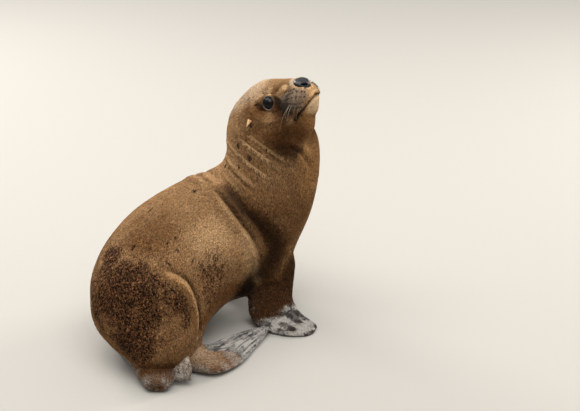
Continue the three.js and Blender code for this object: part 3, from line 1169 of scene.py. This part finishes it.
def set_attribute(mesh, name, values):
    """Keeps one number, or three, at each point of a mesh."""
    values = np.ascontiguousarray(values, np.float32)
    kind, field = ("FLOAT", "value") if values.ndim == 1 else ("FLOAT_VECTOR", "vector")
    mesh.attributes.new(name, kind, "POINT").data.foreach_set(field, values.ravel())


def marked(mesh, shares, bare, shade, tip):
    """Gives a mesh all that the coat's markings read."""
    count = len(bare)
    for attribute, names in MARKS.items():
        set_attribute(mesh, attribute, np.column_stack([shares[name] for name in names]))
    strand = [np.broadcast_to(value, count) for value in (bare, shade, tip)]
    set_attribute(mesh, "strand", np.column_stack(strand))


def put(name, mesh, made, slot, *nodes):
    """Makes a finished piece of a mesh."""
    mesh.materials.clear()
    mesh.materials.append(made)
    mesh.shade_smooth()
    piece = scene_object(name, mesh)
    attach(piece, "root")
    if nodes:
        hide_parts(*nodes)


# ------------------------------------------------------------------ the skin
SKIN_TRIANGLES = 195_000

marked(skin_form.mesh, tone, tone["bare"], 0.32, 0.15)
keep = min(1, SKIN_TRIANGLES / len(skin_form.triangles))
put("skin", with_modifier(skin_form.mesh, "DECIMATE", ratio=keep), skin_material, "coat", *FLESH)


# ------------------------------------------------------------------ the coat
BODY_TUFT = {"length": 11, "width": 1.4, "area": 4.6}
FACE_TUFT = {"length": 4.0, "width": 0.7, "area": 1.5}
COAT_PIECES = ("head", "nape", "throat", "neck", "shoulders", "back", "flanks", "loins", "rump")
SCARS = 44


def skin_unwrap():
    """Where each corner of each triangle of the skin lies on a flat unwrap of its own shape."""
    mesh = skin_form.mesh
    holder = scene_object("unwrapped_form", mesh)
    bpy.ops.object.select_all(action="DESELECT")
    bpy.context.view_layer.objects.active = holder
    holder.select_set(True)
    mesh.uv_layers.active = mesh.uv_layers.new(name="unwrap")
    bpy.ops.object.mode_set(mode="EDIT")
    bpy.ops.mesh.select_all(action="SELECT")
    bpy.ops.uv.smart_project(angle_limit=math.radians(60), island_margin=0.002)
    bpy.ops.object.mode_set(mode="OBJECT")
    layer = mesh.uv_layers["unwrap"]
    flat = np.empty(len(mesh.loops) * 2)
    layer.data.foreach_get("uv", flat)
    mesh.calc_loop_triangles()
    loops = np.empty(len(mesh.loop_triangles) * 3, np.int32)
    mesh.loop_triangles.foreach_get("loops", loops)
    mesh.uv_layers.remove(layer)
    bpy.data.objects.remove(holder)
    return flat.reshape(-1, 2)[loops].reshape(-1, 3, 2)


def tuft_roots(count_share):
    """Random places on the skin's triangles, more where the tufts are smaller."""
    corners = skin_form.places[skin_form.triangles]
    area = np.cross(corners[:, 1] - corners[:, 0], corners[:, 2] - corners[:, 0])
    area = np.linalg.norm(area, axis=1) / 2 / MM**2
    from_eye = [np.linalg.norm(skin_form.places - EYE_AT[side], axis=1) for side in SIDES]
    thick = (1 - facial) / BODY_TUFT["area"] + facial / FACE_TUFT["area"]
    thick *= (1 - rise(tone["bare"], 0.3, 0.9)) * (skin_form.places[:, 2] > 2 * MM)
    thick *= np.minimum(*from_eye) > EYE_RADIUS + 0.6 * MM
    weight = area * thick[skin_form.triangles].mean(1) * count_share
    total = int(weight.sum())
    chosen = np.searchsorted(np.cumsum(weight), rng.random(total) * weight.sum())
    one, two = rng.random((2, total))
    flip = one + two > 1
    one[flip], two[flip] = 1 - one[flip], 1 - two[flip]
    return chosen, np.column_stack([1 - one - two, one, two])


def scarred(root, way):
    """1 at the roots on a few short dark scratches over the back."""
    result = np.zeros(len(root))
    back = np.nonzero((root[:, 2] > 0.34 * HIGH[2]) & (root[:, 0] < 0.45 * HIGH[0]))[0]
    for chosen in rng.choice(back, SCARS):
        arm = root - root[chosen]
        turn = rng.normal(0, 0.5)
        run = unit(way[chosen] * math.cos(turn) + np.cross(way[chosen], (0, 0, 1)) * math.sin(turn))
        along = arm @ run
        off = np.linalg.norm(arm - along[:, None] * run, axis=1)
        length, width = rng.uniform(3, 12) * MM, rng.uniform(1.6, 3.2) * MM
        result = np.maximum(result, (np.abs(along) < length) & (off < width))
    return result


def tuft_shapes(root, out, way, wet, forward, bare):
    """The five corners of each tuft: its root, its two edges and ridge, and its tip."""
    count = len(root)
    face = rise(forward, -30, 40)
    length = BODY_TUFT["length"] + (FACE_TUFT["length"] - BODY_TUFT["length"]) * face
    length = length * (1 - 0.4 * rise(forward, 60, 100)) * (1 - 0.5 * bare)
    length = length * rng.uniform(0.75, 1.25, count) * MM
    width = BODY_TUFT["width"] + (FACE_TUFT["width"] - BODY_TUFT["width"]) * face
    width = width * rng.uniform(0.7, 1.3, count) * (1 + 0.4 * wet) * MM
    stray = rng.normal(0, 1, count) * (0.15 + 0.35 * wet)
    way = unit(way + np.cross(out, way) * stray[:, None])
    across = np.cross(out, way)
    low = (0.45 + 0.5 * wet) * (1 - 0.5 * face) * MM
    high = (0.8 + 1.2 * wet * rng.random(count)) * (1 - 0.5 * face) * MM
    waist = root + way * (0.4 * length)[:, None] + out * low[:, None]
    side = across * (width / 2)[:, None]
    drop = out * (0.12 * width)[:, None]
    start = root - way * (0.1 * length)[:, None] - out * (0.7 * MM)
    tip = root + way * (0.95 * length)[:, None] + out * high[:, None]
    ridge = waist + out * (0.22 * width)[:, None]
    points = np.stack([start, waist + side - drop, ridge, waist - side - drop, tip], axis=1)
    points[:, :, 2] = np.maximum(points[:, :, 2], 0.2 * MM)
    return points


TUFT_FACES = np.array([(0, 2, 1), (0, 3, 2), (0, 1, 3), (4, 1, 2), (4, 2, 3), (4, 3, 1)])
TUFT_PATCH = np.array([(-1, 0), (0, -1), (0, 0), (0, 1), (1, 0)]) * 0.0014


def tuft_mesh(name, points, flat_root, shares, bare, shade):
    """One mesh of many tufts, each with its own patch of the unwrap."""
    count = len(points)
    mesh = bpy.data.meshes.new(name)
    mesh.vertices.add(count * 5)
    mesh.vertices.foreach_set("co", points.ravel())
    corners = (TUFT_FACES[None] + (np.arange(count) * 5)[:, None, None]).reshape(-1)
    mesh.loops.add(len(corners))
    mesh.loops.foreach_set("vertex_index", corners.astype(np.int32))
    mesh.polygons.add(count * 6)
    mesh.polygons.foreach_set("loop_start", np.arange(0, len(corners), 3, dtype=np.int32))
    mesh.update(calc_edges=True)
    spread = (flat_root[:, None] + TUFT_PATCH[None]).reshape(-1, 2)
    mesh.uv_layers.new(name="OFBake").data.foreach_set("uv", spread[corners].ravel())
    shares = {key: np.repeat(values, 5) for key, values in shares.items()}
    tip = np.tile((0.0, 0.5, 0.55, 0.5, 1.0), count)
    marked(mesh, shares, np.repeat(bare, 5), np.repeat(shade, 5), tip)
    return mesh


def build_coat():
    flat = skin_unwrap()
    chosen, weights = tuft_roots(1.0)

    def blended(values):
        corners = values[skin_form.triangles[chosen]]
        return np.einsum("ij...,ij->i...", corners, weights)

    root = blended(skin_form.places)
    way = unit(blended(lie))
    shares = {name: blended(tone[name]) for names in MARKS.values() for name in names}
    flecked = 0.75 * (rng.random(len(root)) < 0.08) * (1 - shares["pale"])
    shares["dark"] = most(shares["dark"], scarred(root, way), flecked)
    crest, hollow = neck_folds(root)
    # Painted highlights on the neck folds' crests and painted shade in their hollows.
    shares["pale"] = np.maximum(shares["pale"] * (1 - 0.6 * hollow), 0.42 * crest)
    shares["brown"] = np.maximum(shares["brown"] * (1 - crest), 0.7 * hollow)
    bare = blended(tone["bare"])
    points = tuft_shapes(
        root, unit(blended(skin_form.normals)), way, shares["wet"],
        blended(skin_form.head[:, 0]), bare,
    )
    flat_root = np.einsum("ijk,ij->ik", flat[chosen], weights)
    shade = rng.beta(3.0, 3.0, len(root)) + (0.15 + 0.45 * shares["wet"]) * wander(root, 5 * MM, 21)
    shade = np.clip(shade, 0.02, 1.3)
    order = np.argsort(blended(spine_number.astype(float)), kind="stable")
    for part, members in zip(COAT_PIECES, np.array_split(order, len(COAT_PIECES))):
        own = {name: values[members] for name, values in shares.items()}
        mesh = tuft_mesh(
            "coat_" + part, points[members], flat_root[members], own, bare[members], shade[members]
        )
        put("coat_" + part, mesh, tuft_material, "coat")


build_coat()


# ------------------------------------------------------------------ eyes
def eye_pieces():
    made = shaded_material(
        "wet_eye", "gaze", (0.001, 0.001, 0.002), (0.005, 0.003, 0.002), Roughness=0.07,
        Coat_Weight=0.26, Specular_IOR_Level=0.04, Coat_Tint=(0.72, 0.86, 1.0),
    )
    for side, sign in SIDES.items():
        form = bmesh.new()
        bmesh.ops.create_uvsphere(form, u_segments=64, v_segments=36, radius=EYE_RADIUS)
        mesh = finished(form, f"eye_{side}_ball")
        arm = places_of(mesh)
        off_axis = 1 - unit(arm) @ eye_axes(sign)[0]
        set_attribute(mesh, "gaze", rise(off_axis, 0.035, 0.05) * (1 - rise(off_axis, 0.16, 0.24)))
        set_places(mesh, arm + EYE_AT[side])
        put(f"eye_{side}_ball", mesh, made, "eye", f"eye_{side}")


eye_pieces()


# ------------------------------------------------------------------ nose
NOSTRIL = np.array(((141, 4, 0), (141.5, 9.5, 2), (139.5, 15, 5.5), (132, 19.5, 11)))


def nose_piece():
    """The bare pad of the nose, with a curled nostril on each side and a groove between."""
    solid = grown_copy("nose_pad", 0.2 * MM)
    form = Surface(with_modifier(solid, "REMESH", mode="VOXEL", voxel_size=0.9 * MM))
    form.moved_to(relaxed(form.places, form.edges, 0.5, 10))
    hollow = np.zeros(len(form.places))
    lift = -1.0 * bell(form.head[:, 1], 1.0) * rise(form.head[:, 2], 18, 10)
    for side in SIDES.values():
        gap, share = form.beside(from_head(sided(NOSTRIL, side)))
        own = bell(gap, 3.1) * tapered(share, 0.2, 0.35)
        hollow = np.maximum(hollow, own)
        lift += 1.2 * bell(np.abs(gap) - 5.2, 1.8) * tapered(share, 0.2, 0.35)
    lift -= 6 * hollow
    set_places(form.mesh, form.places + form.normals * (lift * MM)[:, None])
    # The nostrils' insides are near black, as painted shade.
    set_attribute(form.mesh, "hollow", rise(hollow, 0.15, 0.7))
    made = shaded_material(
        "bare_nose", "hollow", (0.008, 0.008, 0.010), (0.001, 0.001, 0.001), Roughness=0.34,
        Coat_Weight=0.1, Specular_IOR_Level=0.3,
    )
    bumped(made, grain(made.node_tree, 1.6 * MM, 2), 0.5 * MM, 0.5)
    put("nose", form.mesh, made, "nose_skin", "nose_pad")


nose_piece()


# ------------------------------------------------------------------ ears
EAR_WAY = np.array((-0.70, 0.40, -0.50))
EAR_OPEN = np.array((0.30, 0.10, -0.95))
EAR_LENGTH = 19
EAR_HALF = 7.0
EAR_WALL = 1.5
EAR_ROLL = math.radians(128)
EAR_ROWS = 22
EAR_TURNS = 18


def ear_points(side, sign):
    """Rings of points, each out over the ear's wall and back under it, in the head's axes."""
    way = unit(sided(EAR_WAY, sign))
    opening = sided(EAR_OPEN, sign)
    shut = -unit(opening - way * (opening @ way))
    across = np.cross(way, shut)
    root = in_head(middle(f"ear_{side}")) - way * EAR_LENGTH / 2
    rings = []
    for share in np.arange(EAR_ROWS) / (EAR_ROWS - 1):
        half = EAR_HALF * (1.05 - 0.35 * share) * math.sqrt(max(1 - share**3, 0.02))
        wall = min(EAR_WALL, half * 0.5)
        centre = root + way * EAR_LENGTH * share + shut * 2.5 * share**2
        angles = np.linspace(-EAR_ROLL, EAR_ROLL, EAR_TURNS) * (1 - 0.25 * share)
        arc = np.cos(angles)[:, None] * shut + np.sin(angles)[:, None] * across
        rings.append(np.vstack([centre + half * arc, (centre + (half - wall) * arc)[::-1]]))
    return np.concatenate(rings)


def ear_faces():
    """The faces between the rings, and across the wall at both ends."""
    size = EAR_TURNS * 2
    faces = []
    for row in range(EAR_ROWS - 1):
        for step in range(size):
            first, second = row * size + step, row * size + (step + 1) % size
            faces.append((first, second, second + size, first + size))
    for start in (0, (EAR_ROWS - 1) * size):
        for step in range(EAR_TURNS - 1):
            outer_pair = (start + step, start + step + 1)
            inner_pair = (start + size - 2 - step, start + size - 1 - step)
            faces.append((*outer_pair, *inner_pair))
    return faces


def ear_piece(side, sign):
    """A small rolled ear, a scroll that is open along its lower edge and narrows to a tip."""
    points = ear_points(side, sign)
    form = bmesh.new()
    corners = [form.verts.new(place) for place in from_head(points)]
    for face in ear_faces():
        form.faces.new([corners[number] for number in face])
    bmesh.ops.recalc_face_normals(form, faces=form.faces)
    bmesh.ops.triangulate(form, faces=form.faces)
    mesh = finished(form, f"ear_{side}_scroll")
    inside = np.tile(np.repeat((0.0, 1.0), EAR_TURNS), EAR_ROWS)
    shares = {name: np.zeros(len(points)) for name in TONES}
    shares["pale"] = 0.7 * (1 - inside)
    # The inside of the scroll is dark as painted shade.
    shares["dark"] = 0.85 * inside
    marked(mesh, shares, shares["bare"], 0.6, 0.4)
    put(f"ear_{side}_scroll", mesh, skin_material, "coat")


for ear_side, ear_sign in SIDES.items():
    ear_piece(ear_side, ear_sign)


# ------------------------------------------------------------------ whiskers, lids and claws
def strand_tree():
    """Turns paths into closed strands, as thick as each point's girth, of one material."""
    tree = bpy.data.node_groups.new("strands", "GeometryNodeTree")
    for name, kind, way in (
        ("Paths", "Geometry", "INPUT"), ("Sides", "Int", "INPUT"), ("Material", "Material", "INPUT"),
        ("Strands", "Geometry", "OUTPUT"),
    ):
        tree.interface.new_socket(name, in_out=way, socket_type="NodeSocket" + kind)
    given = node_in(tree, "NodeGroupInput")
    curve = node_in(tree, "GeometryNodeMeshToCurve")
    girth = node_in(tree, "GeometryNodeInputNamedAttribute", data_type="FLOAT")
    girth.inputs["Name"].default_value = "girth"
    profile = node_in(tree, "GeometryNodeCurvePrimitiveCircle")
    profile.inputs["Radius"].default_value = 1.0
    swept = node_in(tree, "GeometryNodeCurveToMesh")
    swept.inputs["Fill Caps"].default_value = True
    real = node_in(tree, "GeometryNodeRealizeInstances")
    coloured = node_in(tree, "GeometryNodeSetMaterial")
    fed(tree, curve.inputs["Mesh"], given.outputs["Paths"])
    fed(tree, profile.inputs["Resolution"], given.outputs["Sides"])
    fed(tree, swept.inputs["Curve"], curve.outputs[0])
    fed(tree, swept.inputs["Scale"], girth.outputs["Attribute"])
    fed(tree, swept.inputs["Profile Curve"], profile.outputs["Curve"])
    fed(tree, real.inputs[0], swept.outputs[0])
    fed(tree, coloured.inputs["Geometry"], real.outputs[0])
    fed(tree, coloured.inputs["Material"], given.outputs["Material"])
    fed(tree, node_in(tree, "NodeGroupOutput").inputs[0], coloured.outputs[0])
    return tree


STRANDS = strand_tree()


def strand_piece(name, paths, made, slot, sides=6, closed=False):
    """A piece of many strands. Each path is its points, its girths and its tint, 0 to 1."""
    points = np.concatenate([path for path, _, _ in paths])
    edges = []
    start = 0
    for path, _, _ in paths:
        edges += [(start + step, start + step + 1) for step in range(len(path) - 1)]
        if closed:
            edges.append((start + len(path) - 1, start))
        start += len(path)
    mesh = bpy.data.meshes.new(name + "_paths")
    mesh.from_pydata(points.tolist(), edges, [])
    set_attribute(mesh, "girth", np.concatenate([girths * MM for _, girths, _ in paths]))
    tints = [np.broadcast_to(tint, len(path)) for path, _, tint in paths]
    set_attribute(mesh, "tint", np.concatenate(tints))
    holder = scene_object(name + "_paths", mesh)
    modifier = holder.modifiers.new("strands", "NODES")
    modifier.node_group = STRANDS
    named = {item.name: item.identifier for item in STRANDS.interface.items_tree}
    modifier[named["Sides"]] = sides
    modifier[named["Material"]] = made
    holder.update_tag()
    put(name, modified(holder), made, slot)


def outside(place, clear):
    """A place, pushed out of the skin if it is nearer than some clearance."""
    hit, normal, _, _ = skin_form.tree.find_nearest(Vector(place))
    hit, normal = np.array(hit), np.array(normal)
    depth = (place - hit) @ normal
    return place if depth > clear else hit + normal * clear


# How many points each whisker has, and how its girth falls from its root to its tip.
HAIR_POINTS = 11
HAIR_TAPER = np.linspace(1, 0.15, HAIR_POINTS)
BULB_RISE = np.array((-0.5, 0.8, 1.9, 2.5)) * MM
BULB_GIRTH = np.array((1.7, 1.7, 1.4, 0.6))
# The two hairs over each eye: the root on the left in the head's axes, and the length in mm.
BROW_HAIRS = (((62, 38, 41), 30), ((67, 35, 41), 24))
CLAW_TOES = (-0.4, 0.0, 0.4)
CLAW_AT = 0.76
CLAW_RISE = np.array((-0.6, 0.3, 0.9, 1.3, 1.5, 1.4, 1.1)) * MM
CLAW_GIRTH = np.array((1.3, 1.7, 1.8, 1.7, 1.4, 1.0, 0.4))


def drooping(root, start_way, end_way, length):
    """A hair's path from its root, turning from one way to another as it goes."""
    place = root - start_way * 2 * MM
    path = [place]
    for step in range(1, HAIR_POINTS):
        share = step / (HAIR_POINTS - 1)
        way = unit(start_way * (1 - share) ** 1.6 + end_way * share**0.7)
        place = place + way * length / (HAIR_POINTS - 1) * MM
        path.append(outside(place, 1.2 * MM) if step > 1 else place)
    return np.array(path)


def whisker_piece():
    """The whiskers with the dark bulbs at their roots, and the hairs of the brow."""
    hair = shaded_material(
        "whisker_horn", "tint", (0.012, 0.008, 0.006), (0.62, 0.52, 0.38), Roughness=0.5
    )
    hairs = []
    for side, root, row, column in whisker_roots(skin_form):
        normal = np.array(skin_form.tree.find_nearest(Vector(root))[1])
        back_down = sided((-0.80, 0.25, -0.72), side) @ HEAD_AXES
        start = unit(normal + 0.5 * back_down)
        length = (60 - 38 * column) * (0.75 + 0.25 * row) * rng.uniform(0.8, 1.2)
        girth = (0.5 - 0.2 * column) * HAIR_TAPER
        tint = float(rng.random() < 0.5) * rng.uniform(0.3, 0.8)
        hairs.append((drooping(root, start, unit(back_down + (0, 0, -0.3)), length), girth, tint))
        hairs.append((root + BULB_RISE[:, None] * normal, BULB_GIRTH, 0.0))
    for side in SIDES.values():
        for place, length in BROW_HAIRS:
            root = skin_form.nearest([from_head(sided(place, side))])[0]
            start = sided((0.1, 0.5, 0.8), side) @ HEAD_AXES
            end = sided((-0.7, 0.6, 0.1), side) @ HEAD_AXES
            hairs.append((drooping(root, start, end, length), 0.4 * HAIR_TAPER, 0.7))
    strand_piece("whiskers", hairs, hair, "whisker")


def lid_piece():
    """A wet rim round each eye's opening, pale along its lower edge."""
    made = shaded_material(
        "lid_rim", "tint", (0.016, 0.010, 0.008), (0.15, 0.10, 0.08), Roughness=0.3, Coat_Weight=0.4
    )
    turn = np.linspace(0, 2 * np.pi, 56, endpoint=False)
    rims = []
    for side, sign in SIDES.items():
        outward, front, upward = eye_axes(sign)
        across, along = np.cos(turn) * OPENING[0], np.sin(turn) * OPENING[1]
        ahead = np.sqrt(1 - across**2 - along**2)
        way = across[:, None] * front + along[:, None] * upward + ahead[:, None] * outward
        low = rise(-np.sin(turn), 0.1, 0.8)
        rims.append((EYE_AT[side] + way * (EYE_RADIUS + 0.3 * MM), 0.9 + 0.5 * low, low))
    strand_piece("lid_rims", rims, made, "eye", 8, closed=True)


def claw_piece():
    """Nails on the three middle toes of each hind flipper."""
    made = shaded_material(
        "claw_horn", "tint", (0.045, 0.035, 0.030), (0.16, 0.13, 0.11), Roughness=0.35
    )
    claws = []
    for side in SIDES:
        limb = limbs[f"hind_flipper_{side}"]
        for across in CLAW_TOES:
            near = np.abs(limb["share"] - CLAW_AT) / 0.03 + np.abs(limb["across"] - across) / 0.1
            near += 4 * (skin_form.normals[:, 2] < 0.2) + 4 * (limb["gap"] > 5 * MM)
            chosen = near.argmin()
            run = np.linspace(-3, 8, len(CLAW_RISE))[:, None] * MM * unit(lie[chosen])
            lifted = CLAW_RISE[:, None] * skin_form.normals[chosen]
            claws.append((skin_form.places[chosen] + run + lifted, CLAW_GIRTH, 0.6))
    strand_piece("claws", claws, made, "claw", 8)


whisker_piece()
lid_piece()
claw_piece()


# ------------------------------------------------------------------ the studio
CAMERA = {"aim": (0.8687, 0.3586, 0.4239), "heading": 40, "down": 25, "distance": 3.8, "lens": 94}
FLOOR_REACH = 8.0
LAMP_AIM = Vector((0, 0, 0.3))
# Each panel's name, place, size in metres, power in watts and colour.
PANELS = (
    ("sky_panel", (-0.5, 1.1, 2.9), 1.8, 48, (1.0, 0.97, 0.92)),
    ("top_panel", (-0.8, -1.2, 3.5), 2.4, 84, (1.0, 0.985, 0.95)),
    ("rim_panel", (0.7, 2.9, 1.7), 1.1, 62, (1.0, 0.98, 0.95)),
    ("edge_panel", (2.9, -0.9, 1.6), 1.1, 66, (1.0, 0.97, 0.92)),
)


def add_camera():
    heading, down = (math.radians(CAMERA[turn]) for turn in ("heading", "down"))
    level = math.cos(down)
    ahead = Vector((math.cos(heading) * level, math.sin(heading) * level, -math.sin(down)))
    camera = scene_object("camera", bpy.data.cameras.new("camera"))
    camera.location = Vector(at(*CAMERA["aim"])) - ahead * CAMERA["distance"]
    camera.rotation_euler = ahead.to_track_quat("-Z", "Y").to_euler()
    camera.data.lens = CAMERA["lens"]
    bpy.context.scene.camera = camera


def add_floor():
    mesh = bpy.data.meshes.new("floor")
    corners = [(x * FLOOR_REACH, y * FLOOR_REACH, 0) for x, y in ((-1, -1), (1, -1), (1, 1), (-1, 1))]
    mesh.from_pydata(corners, [], [(0, 1, 2, 3)])
    mesh.materials.append(material("pale_floor", Base_Color=(0.36, 0.345, 0.32), Roughness=0.9))
    scene_object("floor", mesh)


def add_lamps():
    """Square panels, all turned to the middle of the body."""
    for name, place, size, power, colour in PANELS:
        lamp = scene_object(name, bpy.data.lights.new(name, "AREA"))
        lamp.data.size = size
        lamp.data.energy = power
        lamp.data.color = colour
        lamp.location = place
        lamp.rotation_euler = (LAMP_AIM - lamp.location).to_track_quat("-Z", "Y").to_euler()


def add_world():
    """A pale room that is brightest overhead."""
    world = bpy.data.worlds.new("pale_room")
    bpy.context.scene.world = world
    world.use_nodes = True
    tree = world.node_tree
    sockets = tree.nodes["Background"].inputs
    sockets["Color"].default_value = (1.0, 0.985, 0.95, 1)
    way = node_in(tree, "ShaderNodeSeparateXYZ")
    fed(tree, way.inputs[0], node_in(tree, "ShaderNodeTexCoord").outputs["Generated"])
    overhead = worked(tree, "POWER", worked(tree, "MAXIMUM", way.outputs[2], 0.0), 1.5)
    fed(tree, sockets["Strength"], ramp(tree, overhead, 0.32, 1.0))


bpy.context.scene.view_settings.view_transform = "Standard"
add_camera()
add_floor()
add_lamps()
add_world()
